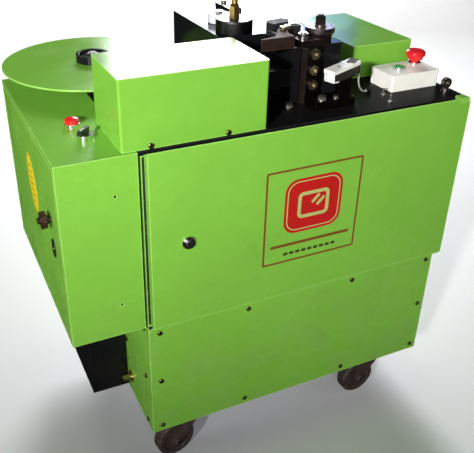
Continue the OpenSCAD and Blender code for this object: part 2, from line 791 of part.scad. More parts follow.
module piston_rod() color(bright) {
    bar_x(210, rack_left, rod_y, rack_middle, rod_radius);
    bar_x(190, 210, rod_y, rack_middle, bore_radius - running);
}

module cylinder_body() color(steel) {
    difference() {
        bar_x(185, 395, rod_y, rack_middle, bore_radius + 6);
        bar_x(184, 396, rod_y, rack_middle, bore_radius);
    }
    block([160, 85, 0], [185, 156, 93]);
    difference() {
        block([395, 85, 0], [420, 156, 93]);
        bar_x(394, 421, rod_y, rack_middle, rod_radius + running);
    }
    // tie rods
    for (y = [93, 148], z = [30, 86]) bar_x(185, 395, y, z, 4);
}

module bar_guides() {
    // reaction bar: a wedge that reaches past the nose towards the fed bar
    color(tool_steel) translate([0, 0, head_height]) difference() {
        linear_extrude(reaction_height) polygon(reaction_plan);
        for (s = reaction_screws) bar_z(5, reaction_height + 1, s[0], s[1], 4);
    }
    color(tool_steel) difference() {
        rounded_plate([572, 176], [592, 196], head_height, head_height + 26, 3);
        bar_z(head_height + 14, head_height + 27, 582, 186, 5);
    }
    color(black) translate([552, 226, head_height]) rotate([0, 0, 12])
        linear_extrude(20) polygon([[0, 0], [44, 0], [58, 18], [50, 34], [8, 34], [0, 22]]);
    color(black) block([head_step_x, 186, head_height], [head_step_x + 11, 224, head_height + 9]);
}

module guide_roller() color(black) translate([guide_x, guide_y, head_height + 1]) difference() {
    union() {
        cylinder(r = 41, h = 24);
        translate([0, 0, 24]) cylinder(r1 = 41, r2 = 39.5, h = 4);
    }
    translate([0, 0, -1]) cylinder(r = 10 + running, h = 40);
    for (turn = [0 : 60 : 300]) rotate([0, 0, turn]) translate([29, 0, 24]) cylinder(r = 3, h = 5);
}

module roller_axles() {
    // hexagon axle bolt of the large guide roller, with a grease fitting on top
    color(brass) translate([guide_x, guide_y, 0]) {
        translate([0, 0, head_height - 20]) cylinder(r = 10, h = 49.5);
        translate([0, 0, head_height + 29.5]) cylinder(r = 12.7, h = 26, $fn = 6);
        translate([0, 0, head_height + 55.5]) cylinder(r1 = 11, r2 = 6.5, h = 5);
        translate([0, 0, head_height + 60.5]) cylinder(r = 6.5, h = 14);
        translate([0, 0, head_height + 74.5]) cylinder(r1 = 6.5, r2 = 4, h = 5);
    }
    color(steel) translate([small_x, small_y, 0]) {
        translate([0, 0, head_height - 20]) cylinder(r = 6, h = 40.5);
        translate([0, 0, head_height + 20.5]) cylinder(r = 10, h = 6, $fn = 6);
    }
}

module small_roller() color(bright) translate([small_x, small_y, head_height + 1])
    difference() {
        cylinder(r = 26, h = 19);
        translate([0, 0, -1]) cylinder(r = 6 + running, h = 30);
    }

module bending_arm() {
    color(tool_steel) difference() {
        union() {
            bar_z(arm_low, arm_high, spindle_x, spindle_y, 26);
            block([556, 112, arm_low], [spindle_x, 160, arm_high]);
        }
        bar_z(arm_low - 1, arm_high + 1, spindle_x, spindle_y, spindle_radius + 0.02);
        bar_z(arm_low - 1, arm_high + 1, roller_x, roller_y, bend_pin + 0.03);
    }
    color(bright) {
        bar_z(arm_low, arm_high + 11, roller_x, roller_y, bend_pin);
        bar_z(arm_high + 11, arm_high + 13.5, roller_x, roller_y, 7);
    }
}

module bending_roller() color(bright) difference() {
    bar_z(arm_high + gap, arm_high + 10.7, roller_x, roller_y, bend_radius);
    bar_z(arm_high, arm_high + 12, roller_x, roller_y, bend_pin + running);
}

module in_switch() translate(switch_centre) rotate([0, -switch_tilt, switch_turn]) children();

module limit_switch() {
    color([0.25, 0.24, 0.25]) in_switch() difference() {
        block([-42, -14, -13], [42, 14, 5]);
        translate(lever_shift) bar_y(-8, 2, 0, 0, 3 + running);
    }
    color(cream) in_switch() difference() {
        block([-44, -14, 5.1], [42, 14, 13]);
        for (x = [-14, 18]) bar_z(11, 14, x, 0, 3.5);
    }
    // cable gland
    color(black) in_switch() difference() {
        bar_x(42.1, 52, 0, -2, 5.5);
        bar_x(41, 53, 0, -2, 3.4);
    }
    // bracket on the deck
    color(tool_steel) {
        difference() {
            block([560, 46, 0], [656, 92, switch_base]);
            for (b = deck_bolt_at) bar_z(-1, switch_base + 1, b[0], b[1], b[3]);
        }
        block([624, 64, switch_base - 1], [656, 76, 58]);
        in_switch() block([-12, -12, -17], [30, 12, -13.1]);
    }
}

module switch_lever() color(bright) in_switch() translate(lever_shift) {
    bar_y(-7, 3, 0, 0, 3);
    block([-4, gap, -4], [26, 3, 4]);
    bar_y(3, 9, 21, 0, 5);
}

// wire from the gland of the switch, down in a sweep to its clip on the deck
module switch_wire() color(cream) translate([switch_centre[0], switch_centre[1], 0])
    rotate([0, 0, switch_turn]) {
    wire_end = wire_fall + wire_sweep;
    bar_x(wire_from, wire_fall - wire_bend, 0, wire_z, wire_radius);
    translate([wire_fall - wire_bend, 0, wire_z - wire_bend]) rotate([90, 0, 0])
        rotate_extrude(angle = 90) translate([wire_bend, 0]) circle(wire_radius, $fn = 24);
    bar_z(wire_low + wire_sweep, wire_z - wire_bend, wire_fall, 0, wire_radius);
    translate([wire_end, 0, wire_low + wire_sweep]) rotate([90, 0, 0]) rotate([0, 0, 180])
        rotate_extrude(angle = 90) translate([wire_sweep, 0]) circle(wire_radius, $fn = 24);
    block([wire_end, -5, 0], [wire_end + 8, 5, 9]);
}

module button_box() {
    far = [station_corner[0] + station_size[0], station_corner[1] + station_size[1]];
    lid_low = station_size[2] - station_lid;
    color(cream) difference() {
        rounded_plate(station_corner, far, 0, lid_low - 0.6, 4);
        rounded_plate(station_corner + [3, 3], far - [3, 3], 3, lid_low, 2);
        bar_z(-1, 4, 815, 122, 12);
    }
    color(cream) difference() {
        rounded_plate(station_corner - [1, 1], far + [1, 1], lid_low - 0.5, station_size[2], 5);
        bar_z(lid_low - 1, 40, start_at[0], start_at[1], 11.3);
        bar_z(lid_low - 1, 40, stop_at[0], stop_at[1], 8.3);
        for (x = [station_corner[0] + 7, far[0] - 7], y = [station_corner[1] + 7, far[1] - 7])
            bar_z(station_size[2] - 2, 40, x, y, 3);
    }
}

module start_button() color(green)
    bar_z(34, station_size[2] + bezel_height + 2, start_at[0], start_at[1], 11);

module stop_button() color(red) translate([stop_at[0], stop_at[1], station_size[2]]) {
    translate([0, 0, -3]) cylinder(r = 8, h = 14);
    translate([0, 0, 10.5]) cylinder(r1 = 16.5, r2 = 19, h = 9.5);
    translate([0, 0, 20]) cylinder(r = 22, h = 8.5);
    translate([0, 0, 28.5]) cylinder(r1 = 22, r2 = 17, h = 4);
}

module bezel(at, z, hole, tall = bezel_height) difference() {
    bar_z(z, z + tall, at[0], at[1], bezel_radius);
    bar_z(z - 1, z + tall + 1, at[0], at[1], hole);
}

module control_bezels() color(bright) {
    bezel(start_at, station_size[2], 11.3);
    bezel(stop_at, station_size[2], 8.3);
    bezel(selector_at, 0, 10.3, selector_height);
    bezel(lamp_at, 0, 10);
}

module selector_knob() color(black) translate([selector_at[0], selector_at[1], 0]) {
    translate([0, 0, -3]) cylinder(r = 10, h = selector_height + 4);
    translate([0, 0, selector_height + 1]) rotate([0, 0, 135]) block([-4, -13, 0], [4, 17, 11]);
}

module lamp_lens() color(red) translate([lamp_at[0], lamp_at[1], 0]) {
    cylinder(r = 9.9, h = 5);
    translate([0, 0, bezel_height]) cylinder(r = 14.2, h = 8);
    translate([0, 0, bezel_height + 8]) intersection() {
        translate([0, 0, -21.8]) sphere(r = 26);
        cylinder(r = 14.5, h = 10);
    }
}

module motor() color([0.3, 0.36, 0.4]) {
    z = motor_axis_z;
    difference() {
        union() {
            bar_x(430, 640, motor_axis_y, z, motor_radius);
            bar_x(640, 652, motor_axis_y, z, 80);
            block([480, motor_axis_y - 70, cabinet_floor],
                [600, motor_axis_y + 70, cabinet_floor + 12]);
            for (side = [-1, 1]) block([490, motor_axis_y + side * 56 - 6, cabinet_floor],
                [590, motor_axis_y + side * 56 + 6, z - 20]);
            block([500, motor_axis_y - 45, z + 55], [590, motor_axis_y + 45, z + 105]);
            // cooling fins
            for (turn = [0 : 20 : 340]) translate([440, motor_axis_y, z]) rotate([turn, 0, 0])
                block([0, -1.5, 60], [190, 1.5, 76]);
        }
        bar_x(600, 660, motor_axis_y, z, shaft_radius + running);
    }
}

module motor_coupling() color(steel) {
    bar_x(602, 700, motor_axis_y, motor_axis_z, shaft_radius);
    difference() {
        union() {
            bar_x(664, 682, motor_axis_y, motor_axis_z, 30);
            bar_x(682, 688, motor_axis_y, motor_axis_z, 26);
            bar_x(688, 706, motor_axis_y, motor_axis_z, 30);
        }
        bar_x(663, 700, motor_axis_y, motor_axis_z, shaft_radius);
    }
    bar_x(706, 728, motor_axis_y, motor_axis_z, 8);
}

module pump() color(steel) difference() {
    union() {
        block([712, motor_axis_y - 40, cabinet_floor], [720, motor_axis_y + 40, motor_axis_z + 45]);
        block([712, motor_axis_y - 40, cabinet_floor], [780, motor_axis_y + 40, cabinet_floor + 8]);
        block([720.1, motor_axis_y - 36, motor_axis_z - 45],
            [800, motor_axis_y + 36, motor_axis_z + 36]);
        bar_x(800, 812, motor_axis_y, motor_axis_z, 28);
    }
    bar_x(711, 731, motor_axis_y, motor_axis_z, 8 + running);
}

module valve_block() {
    color(steel) block([776, 270, 0], [870, 330, 48]);
    color(black) {
        bar_y(225, 269.9, 828, 26, 20);
        bar_y(330.1, 400, 828, 26, 20);
        block([812, 345, 40], [844, 385, 60]);
    }
}

// shell, drain boss, lid and filler cap of the tank
module oil_tank() {
    color([0.2, 0.3, 0.5]) {
        difference() {
            block([205, 60, tank_low], [640, 450, -450]);
            block([208, 63, tank_low + 3], [637, 447, -449]);
            bar_x(200, 210, 147, -663, 8.1);
        }
        // drain boss
        difference() {
            bar_x(cabinet_left + 8, 204.9, 147, -663, 17);
            bar_x(cabinet_left + 7, 206, 147, -663, 8.1);
        }
        difference() {
            block([200, 55, -449.8], [645, 455, -444]);
            bar_z(-451, -440, suction_at[0], suction_at[1], 12.5);
            bar_z(-451, -440, tank_return_x, return_at[1], 8.5);
        }
    }
    color(black) bar_z(-443.8, -428, 270, 160, 24);
}

// a pipe through a list of points, with a round elbow at each corner
module pipe(points, r) {
    for (i = [0 : len(points) - 2]) {
        run = points[i + 1] - points[i];
        turn = run[0] != 0 ? [0, sign(run[0]) * 90, 0]
            : run[1] != 0 ? [-sign(run[1]) * 90, 0, 0]
            : [run[2] > 0 ? 0 : 180, 0, 0];
        translate(points[i]) rotate(turn) cylinder(r = r, h = norm(run));
    }
    for (i = [1 : len(points) - 2]) translate(points[i]) sphere(r = r * 1.15);
}

module pipes() color(bright) {
    pump_top = motor_axis_z + 36;
    low = -50;
    lower = -85;
    cap_line = 158;
    // pressure pipe from the pump up to the valve block
    pipe([[pressure_at[0], pressure_at[1], pump_top], [pressure_at[0], pressure_at[1], 0]], 7);
    // one pipe from the valve block to each end of the cylinder
    pipe([[port_a[0], port_a[1], 0], [port_a[0], port_a[1], low], [port_a[0], cap_line, low],
        [172, cap_line, low], [172, rod_y, low], [172, rod_y, 0]], 7);
    pipe([[port_b[0], port_b[1], 0], [port_b[0], port_b[1], lower], [port_b[0], rod_y, lower],
        [407, rod_y, lower], [407, rod_y, 0]], 7);
    // return pipe from the valve block down to the tank
    pipe([[return_at[0], return_at[1], 0], [return_at[0], return_at[1], -425],
        [tank_return_x, return_at[1], -425], [tank_return_x, return_at[1], -520]], 7);
    // suction pipe from the tank up to the pump
    pipe([[suction_at[0], suction_at[1], -680], [suction_at[0], suction_at[1], -330],
        [760, suction_at[1], -330], [760, motor_axis_y + 36, -330]], 11);
}

module control_gear() {
    color(bright) block([control_width - 10, 60, -150], [control_width - 2, 450, -115]);
    color(bright) block([control_width - 10, 60, -300], [control_width - 2, 450, -265]);
    color(black) for (y = [80, 140])
        block([control_width - 90, y, -170], [control_width - 10.2, y + 46, -95]);
    color(cream) for (y = [220 : 20 : 300])
        block([control_width - 80, y, -172], [control_width - 10.2, y + 17.5, -92]);
    color([0.5, 0.35, 0.2]) block([control_width - 95, 100, -330], [control_width - 10.2, 190, -240]);
    color(cream) block([control_width - 55, 230, -300], [control_width - 10.2, 400, -262]);
}

// castor seen in its own frame: swivel axis on Z, wheel trailing to +X
module castor_frame(i) {
    translate([castor_x[i % 2], castor_y[floor(i / 2)], 0]) rotate([0, 0, castor_turn[i]]) children();
}

module castor_fork(i) color(tool_steel) castor_frame(i) {
    leg = wheel_width / 2 + 4;
    crown = castor_top - 20;
    difference() {
        union() {
            translate([0, 0, crown]) cylinder(r = 27, h = 19.6);
            block([-20, -leg - 4, crown - 2], [castor_trail + 6, leg + 4, crown + 4]);
            for (side = [-1, 1]) translate([0, side * (leg + 2) + 2, 0]) rotate([90, 0, 0])
                linear_extrude(4) polygon([[-20, crown], [castor_trail - 15, axle_z + 4],
                    [castor_trail - 10, axle_z - 12], [castor_trail + 6, axle_z - 16],
                    [castor_trail + 18, axle_z - 4], [castor_trail + 16, crown]]);
        }
        translate([castor_trail, -leg - 5, axle_z]) rotate([-90, 0, 0]) cylinder(r = 6, h = 2 * leg + 10);
        translate([0, 0, crown - 3]) cylinder(r = 8 + running, h = 30);
    }
    // axle bolt with its head and nut
    translate([castor_trail, -leg - 6, axle_z]) rotate([-90, 0, 0])
        cylinder(r = axle_radius, h = 2 * leg + 12);
    for (side = [-1, 1]) translate([castor_trail, side * (leg + 7.1) + 3, axle_z])
        rotate([90, 0, 0]) cylinder(r = 9, h = 6, $fn = 6);
}

module castor_wheel(i) color(tool_steel) castor_frame(i) translate([castor_trail, 0, axle_z])
    rotate([90, 0, 0]) translate([0, 0, -wheel_width / 2]) rotate_extrude($fn = 96) polygon([
        [axle_radius + running, -2], [14, -2], [14, 4], [34, 4], [36, 0], [wheel_radius - 4, 0],
        [wheel_radius, 5], [wheel_radius, wheel_width - 5], [wheel_radius - 4, wheel_width],
        [36, wheel_width], [34, wheel_width - 4], [14, wheel_width - 4], [14, wheel_width + 2],
        [axle_radius + running, wheel_width + 2]]);

to_floor() base_frame();
to_floor() lower_panels();
to_floor() panel_screws();
to_floor() upper_cabinet();
to_floor() deck_plate();
to_floor() machine_bolts();
to_floor() front_door();
to_floor() door_hinges();
to_floor() door_lock_housing();
to_floor() door_lock_plug();
to_floor() control_box();
to_floor() side_door();
to_floor() side_lock_plug();
to_floor() latch_knob();
to_floor() support_column();
to_floor() drain_plug();
to_floor() front_guard();
to_floor() rear_guard();
to_floor() turntable_post();
to_floor() turntable_disc();
to_floor() turntable_hub();
to_floor() head_housing();
to_floor() clamp_plate();
to_floor() cap_screws();
to_floor() spindle();
to_floor() spindle_bushes();
to_floor() pinion();
to_floor() bending_arm();
to_floor() bending_roller();
to_floor() rack();
to_floor() piston_rod();
to_floor() cylinder_body();
to_floor() bar_guides();
to_floor() guide_roller();
to_floor() roller_axles();
to_floor() small_roller();
to_floor() limit_switch();
to_floor() switch_lever();
to_floor() switch_wire();
to_floor() button_box();
to_floor() start_button();
to_floor() stop_button();
to_floor() control_bezels();
to_floor() selector_knob();
to_floor() lamp_lens();
to_floor() motor();
to_floor() motor_coupling();
to_floor() pump();
to_floor() valve_block();
to_floor() oil_tank();
to_floor() pipes();
to_floor() control_gear();
to_floor() castor_fork(0);  // castor_fork_front_left
to_floor() castor_fork(1);  // castor_fork_front_right
to_floor() castor_fork(2);  // castor_fork_rear_left
to_floor() castor_fork(3);  // castor_fork_rear_right
to_floor() castor_wheel(0);  // castor_wheel_front_left
to_floor() castor_wheel(1);  // castor_wheel_front_right
to_floor() castor_wheel(2);  // castor_wheel_rear_left
to_floor() castor_wheel(3);  // castor_wheel_rear_right
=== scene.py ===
"""Rebar bender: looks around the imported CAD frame."""

import json
import math

import bmesh
import bpy
from mathutils import Matrix, Vector

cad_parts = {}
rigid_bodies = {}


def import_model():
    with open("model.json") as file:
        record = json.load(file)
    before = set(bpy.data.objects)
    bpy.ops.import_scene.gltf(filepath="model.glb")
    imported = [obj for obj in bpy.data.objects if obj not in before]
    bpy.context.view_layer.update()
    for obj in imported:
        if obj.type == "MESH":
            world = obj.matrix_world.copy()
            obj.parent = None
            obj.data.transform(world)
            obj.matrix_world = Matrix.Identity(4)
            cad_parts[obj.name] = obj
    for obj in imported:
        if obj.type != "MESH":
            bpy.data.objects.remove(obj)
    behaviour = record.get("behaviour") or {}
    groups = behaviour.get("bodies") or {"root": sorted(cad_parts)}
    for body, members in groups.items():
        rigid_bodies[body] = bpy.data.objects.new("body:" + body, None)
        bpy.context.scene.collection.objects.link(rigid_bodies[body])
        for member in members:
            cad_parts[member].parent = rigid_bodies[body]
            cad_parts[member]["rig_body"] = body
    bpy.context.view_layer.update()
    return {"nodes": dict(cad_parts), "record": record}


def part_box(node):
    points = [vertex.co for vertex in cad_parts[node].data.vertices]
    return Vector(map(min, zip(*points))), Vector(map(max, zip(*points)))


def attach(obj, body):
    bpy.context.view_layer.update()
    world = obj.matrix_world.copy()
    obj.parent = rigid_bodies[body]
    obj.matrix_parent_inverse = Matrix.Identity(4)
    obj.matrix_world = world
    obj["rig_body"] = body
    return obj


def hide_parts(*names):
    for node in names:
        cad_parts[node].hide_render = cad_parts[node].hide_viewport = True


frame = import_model()
NODE_SLOT = {s["node"]: s["material_slot"] for s in frame["record"]["subparts"]}
NODE_BODY = {n: o["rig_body"] for n, o in frame["nodes"].items()}

# the machine's own origin: front left corner of the control box at deck level
ORIGIN = Vector(
    (
        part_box("side_door")[0].x,
        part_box("control_box")[0].y,
        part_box("deck_plate")[1].z,
    )
)
MM = 0.001


def at(x, y, z):
    """A point given in millimetres from the machine's origin."""
    return ORIGIN + Vector((x, y, z)) * MM


# ---------------------------------------------------------------- camera
CAMERA_PLACE = at(-193.6, -1079.3, 518.3)
CAMERA_TURN, CAMERA_TILT, CAMERA_ROLL = -0.4282, -0.5158, -0.0086
camera_data = bpy.data.cameras.new("camera")
camera_data.sensor_width = 36
camera_data.lens = 51.94
camera_data.shift_x, camera_data.shift_y = 0.0582, -0.0312
camera = bpy.data.objects.new("camera", camera_data)
bpy.context.scene.collection.objects.link(camera)
camera.matrix_world = Matrix.Translation(CAMERA_PLACE) @ (
    Matrix.Rotation(CAMERA_TURN, 3, "Z")
    @ Matrix.Rotation(CAMERA_TILT, 3, "X")
    @ Matrix.Rotation(CAMERA_ROLL, 3, "Y")
    @ Matrix.Rotation(math.pi / 2, 3, "X")
).to_4x4()
bpy.context.scene.camera = camera


# ---------------------------------------------------------------- materials
class Paint:
    """Builds one node material. Every pattern is in the object's own coordinates."""

    def __init__(self, name, **values):
        self.material = bpy.data.materials.new(name)
        self.material.use_nodes = True
        self.tree = self.material.node_tree
        self.tree.nodes.clear()
        self.shader = self.add("ShaderNodeBsdfPrincipled")
        output = self.add("ShaderNodeOutputMaterial")
        self.link(self.shader.outputs[0], output.inputs[0])
        self.position = self.add("ShaderNodeTexCoord").outputs["Object"]
        for key, value in values.items():
            self.shader.inputs[key.replace("_", " ")].default_value = value

    def add(self, kind, **values):
        node = self.tree.nodes.new(kind)
        for key, value in values.items():
            setattr(node, key, value)
        return node

    def link(self, a, b):
        self.tree.links.new(a, b)

    def put(self, socket, value):
        if hasattr(value, "links"):
            self.link(value, socket)
        else:
            socket.default_value = value

    def noise(self, scale, detail=3.0, stretch=(1, 1, 1), rough=0.55):
        mapping = self.add("ShaderNodeMapping")
        mapping.inputs["Scale"].default_value = stretch
        self.link(self.position, mapping.inputs["Vector"])
        node = self.add("ShaderNodeTexNoise")
        node.inputs["Scale"].default_value = scale
        node.inputs["Detail"].default_value = detail
        node.inputs["Roughness"].default_value = rough
        self.link(mapping.outputs[0], node.inputs["Vector"])
        return node.outputs["Fac"]

    def cells(self, scale):
        node = self.add("ShaderNodeTexVoronoi")
        node.inputs["Scale"].default_value = scale
        self.link(self.position, node.inputs["Vector"])
        return node.outputs["Distance"]

    def rise(self, value, low, high, to_low=0.0, to_high=1.0):
        """Maps low..high to to_low..to_high, held at both ends."""
        node = self.add("ShaderNodeMapRange", clamp=True)
        self.put(node.inputs["Value"], value)
        for key, number in zip(
            ("From Min", "From Max", "To Min", "To Max"), (low, high, to_low, to_high)
        ):
            node.inputs[key].default_value = number
        return node.outputs[0]

    def math(self, operation, a, b=0.0):
        node = self.add("ShaderNodeMath", operation=operation)
        self.put(node.inputs[0], a)
        self.put(node.inputs[1], b)
        return node.outputs[0]

    def mix(self, factor, a, b):
        node = self.add("ShaderNodeMix", data_type="RGBA")
        self.put(node.inputs["Factor"], factor)
        for socket, value in ((node.inputs[6], a), (node.inputs[7], b)):
            self.put(socket, value if hasattr(value, "links") else (*value, 1.0))
        return node.outputs[2]

    def axis(self, index, vector=None):
        node = self.add("ShaderNodeSeparateXYZ")
        self.link(vector or self.position, node.inputs[0])
        return node.outputs[index]

    def edges(self, radius):
        """1 along sharp edges, 0 on faces."""
        bevel = self.add("ShaderNodeBevel", samples=6)
        bevel.inputs["Radius"].default_value = radius
        flat = self.add("ShaderNodeNewGeometry")
        dot = self.add("ShaderNodeVectorMath", operation="DOT_PRODUCT")
        self.link(bevel.outputs[0], dot.inputs[0])
        self.link(flat.outputs["Normal"], dot.inputs[1])
        return self.rise(dot.outputs["Value"], 0.992, 0.90)

    def bump(self, height, strength, distance, under=None):
        node = self.add("ShaderNodeBump")
        node.inputs["Strength"].default_value = strength
        node.inputs["Distance"].default_value = distance
        self.link(height, node.inputs["Height"])
        if under is not None:
            self.link(under, node.inputs["Normal"])
        return node.outputs[0]

    def finish(self, color, roughness, normal=None):
        self.put(self.shader.inputs["Base Color"], color)
        self.put(self.shader.inputs["Roughness"], roughness)
        if normal is not None:
            self.link(normal, self.shader.inputs["Normal"])
        return self.material


def scaled(color, by):
    """A colour made lighter or darker."""
    return tuple(min(1.0, c * by) for c in color)


def enamel(
    name, color, rough=0.24, dust=(0.30, 0.27, 0.20), dust_amount=0.35,
    edge=None, peel=0.12, line=0.0035, shine=0.5,
):
    """Sprayed paint: faint mottling, orange peel, edges painted lighter as a highlight, dust low
    down.
    """
    p = Paint(name, Specular_IOR_Level=shine)
    cloud = p.noise(2.3, 3)
    mottle = p.noise(38, 4)
    base = p.mix(p.rise(cloud, 0.35, 0.65), scaled(color, 0.93), scaled(color, 1.05))
    base = p.mix(p.rise(mottle, 0.3, 0.7, 0, 0.35), base, scaled(color, 0.86))
    # smudges and small marks
    smudge = p.math("MULTIPLY", p.rise(p.noise(7, 5), 0.58, 0.75), p.rise(p.noise(55, 4), 0.4, 0.8))
    base = p.mix(p.math("MULTIPLY", smudge, 0.4), base, scaled(color, 0.5))
    specks = p.rise(p.cells(130), 0.055, 0.03)
    specks = p.math("MULTIPLY", specks, p.rise(p.noise(11, 2), 0.52, 0.62))
    base = p.mix(p.math("MULTIPLY", specks, 0.25), base, scaled(color, 0.45))
    # dust gathers towards the floor
    low = p.rise(p.axis(2), 0.62, 0.10)
    patch = p.math("MULTIPLY", low, p.rise(p.noise(14, 5), 0.42, 0.75))
    base = p.mix(p.math("MULTIPLY", patch, dust_amount), base, dust)
    # edges painted a lighter colour: a painted highlight along every fold, broken up a little by
    # noise
    if edge:
        edge_wear_and_highlight = p.math("MULTIPLY", p.edges(line), p.rise(p.noise(30, 3), 0.3, 0.55, 0.6, 1.0))
        base = p.mix(p.math("MULTIPLY", edge_wear_and_highlight, 0.9), base, edge)
    gloss = p.rise(p.noise(9, 4), 0.3, 0.7, rough - 0.04, rough + 0.08)
    gloss = p.math("ADD", gloss, p.math("MULTIPLY", patch, 0.35))
    wavy = p.bump(p.noise(5.5, 1), 0.08, 0.004)
    skin = p.bump(p.noise(420, 2), peel, 0.0004, wavy)
    return p.finish(base, gloss, skin)


def metal(
    name, color, rough, grain=(1, 1, 1), grime=(0.10, 0.075, 0.05), grime_amount=0.35, edge=None
):
    """Machined metal: fine tool marks along one way, stains, bright edges."""
    p = Paint(name, Metallic=1.0)
    lines = p.noise(220, 3, grain)
    stain = p.noise(26, 5)
    base = p.mix(p.rise(lines, 0.3, 0.7), scaled(color, 0.86), scaled(color, 1.1))
    base = p.mix(p.rise(stain, 0.48, 0.78, 0, grime_amount), base, grime)
    if edge:
        edge_wear_and_highlight = p.math("MULTIPLY", p.edges(0.0012), p.rise(p.noise(60, 3), 0.35, 0.6, 0.2, 1.0))
        base = p.mix(edge_wear_and_highlight, base, edge)
    uneven = p.math("ADD", p.math("MULTIPLY", lines, 0.5), p.math("MULTIPLY", stain, 0.5))
    gloss = p.rise(uneven, 0.35, 0.65, rough - 0.07, rough + 0.12)
    return p.finish(base, gloss, p.bump(lines, 0.18, 0.0003))


def plastic(name, color, rough=0.3, grain=900, relief=0.1, dirt=(0.2, 0.17, 0.12), dirt_amount=0.2):
    """Moulded plastic: fine texture, faint sink marks, hand dirt."""
    p = Paint(name)
    cloud = p.noise(30, 4)
    base = p.mix(p.rise(cloud, 0.3, 0.7), scaled(color, 0.95), scaled(color, 1.04))
    base = p.mix(p.rise(p.noise(75, 5), 0.52, 0.8, 0, dirt_amount), base, dirt)
    gloss = p.rise(cloud, 0.3, 0.7, rough - 0.04, rough + 0.08)
    return p.finish(base, gloss, p.bump(p.noise(grain, 2), relief, 0.0003))


def cast(name, color, rough=0.55):
    """Cast or hammered surface under paint."""
    p = Paint(name, Metallic=0.1)
    lump = p.noise(160, 4)
    base = p.mix(p.rise(lump, 0.3, 0.7), scaled(color, 0.8), scaled(color, 1.15))
    base = p.mix(p.rise(p.noise(20, 5), 0.5, 0.8, 0, 0.5), base, (0.16, 0.13, 0.10))
    gloss = p.rise(lump, 0.3, 0.7, rough - 0.1, rough + 0.1)
    return p.finish(base, gloss, p.bump(lump, 0.35, 0.0008))


GREEN = (0.195, 0.47, 0.050)
OIL = (0.02, 0.012, 0.01)
ALONG_Z = (1, 1, 6)
# the finish of each material slot
MATERIALS = {
    # the edge colours given to the enamels are lighter than the paint: painted highlights along the
    # edges
    "green_paint": enamel(
        "green_enamel", GREEN, 0.22, dust_amount=0.18, edge=(0.46, 0.82, 0.20), shine=0.32
    ),
    "black_paint": enamel(
        "black_enamel", (0.0070, 0.0070, 0.0080), 0.17, dust=(0.07, 0.062, 0.052),
        dust_amount=0.12, edge=(0.030, 0.027, 0.029), peel=0.2, line=0.0015, shine=0.14,
    ),
    "motor_paint": cast("motor_enamel", (0.10, 0.14, 0.18), 0.5),
    "tank_paint": enamel("tank_enamel", (0.03, 0.07, 0.20), 0.3),
    "zinc": metal(
        "zinc_plate", (0.62, 0.60, 0.55), 0.3, grime_amount=0.45, edge=(0.75, 0.73, 0.68)
    ),
    "steel": metal(
        "machined_steel", (0.30, 0.28, 0.27), 0.32, ALONG_Z,
        grime_amount=0.5, edge=(0.6, 0.58, 0.55),
    ),
    "bright_steel": metal("ground_steel", (0.62, 0.60, 0.60), 0.26, (1, 1, 8), grime_amount=0.3),
    "tool_steel": metal(
        "oiled_steel", (0.095, 0.062, 0.050), 0.38,
        grime=OIL, grime_amount=0.7, edge=(0.30, 0.22, 0.18),
    ),
    "blackened_steel": metal(
        "blackened_steel", (0.035, 0.034, 0.038), 0.34, (1, 1, 0.2),
        grime_amount=0.3, edge=(0.2, 0.19, 0.19),
    ),
    "grey_metal": cast("die_cast_grey", (0.030, 0.024, 0.023), 0.42),
    "chrome": metal("chrome_plate", (0.80, 0.80, 0.82), 0.12, grime_amount=0.15),
    "brass": metal(
        "worn_brass", (0.55, 0.38, 0.13), 0.3,
        grime=(0.12, 0.07, 0.02), grime_amount=0.5, edge=(0.85, 0.70, 0.38),
    ),
    "cast_iron": cast("pump_iron", (0.07, 0.07, 0.075), 0.5),
    "cream_plastic": plastic("cream_abs", (0.93, 0.92, 0.83), 0.32, dirt_amount=0.08),
    "black_plastic": plastic("black_phenolic", (0.014, 0.013, 0.014), 0.34),
    "green_plastic": plastic("green_button", (0.03, 0.30, 0.08), 0.25),
    "red_plastic": plastic("red_button", (0.72, 0.012, 0.018), 0.22),
    "castor_steel": cast("castor_fork_paint", (0.055, 0.036, 0.030), 0.5),
    "castor_rubber": plastic(
        "castor_tread", (0.040, 0.027, 0.023), 0.6, 300, 0.5, (0.17, 0.13, 0.10), 0.6
    ),
}
# finishes of single pieces
OLIVE_ZINC = metal(
    "olive_zinc", (0.30, 0.26, 0.16), 0.34,
    grime=(0.05, 0.035, 0.015), grime_amount=0.6, edge=(0.55, 0.50, 0.34),
)
DARK_SCREW = metal(
    "dark_screw", (0.12, 0.10, 0.045), 0.36,
    grime=(0.02, 0.02, 0.01), grime_amount=0.7, edge=(0.45, 0.40, 0.18),
)
DARK_PLATE = metal(
    "dark_oiled_plate", (0.018, 0.013, 0.012), 0.45,
    grime=(0.01, 0.008, 0.008), grime_amount=0.6, edge=(0.12, 0.09, 0.075),
)
DARK_STEEL = metal(
    "dark_ground_steel", (0.30, 0.25, 0.235), 0.28, ALONG_Z,
    grime=(0.05, 0.03, 0.028), grime_amount=0.7, edge=(0.5, 0.46, 0.44),
)
SCALED_STEEL = metal(
    "scaled_steel", (0.075, 0.045, 0.036), 0.66,
    grime=OIL, grime_amount=0.7, edge=(0.34, 0.25, 0.20),
)
BLACK_BAR = cast("black_bar", (0.012, 0.011, 0.012), 0.7)
BROWN_KNOB = plastic("brown_phenolic", (0.030, 0.010, 0.008), 0.2)
# its lighter edge colour is a painted highlight along the deck's edges
DECK_PAINT = enamel(
    "deck_enamel", (0.0080, 0.0078, 0.0080), 0.34, dust=(0.10, 0.09, 0.075),
    dust_amount=0.3, edge=(0.060, 0.054, 0.050), peel=0.2, line=0.0015, shine=0.03,
)
PALE_NYLON = plastic("pale_nylon", (0.70, 0.69, 0.78), 0.28, 500, 0.15)
GREY_WIRE = plastic("grey_wire", (0.40, 0.40, 0.37), 0.4, 700, 0.2)


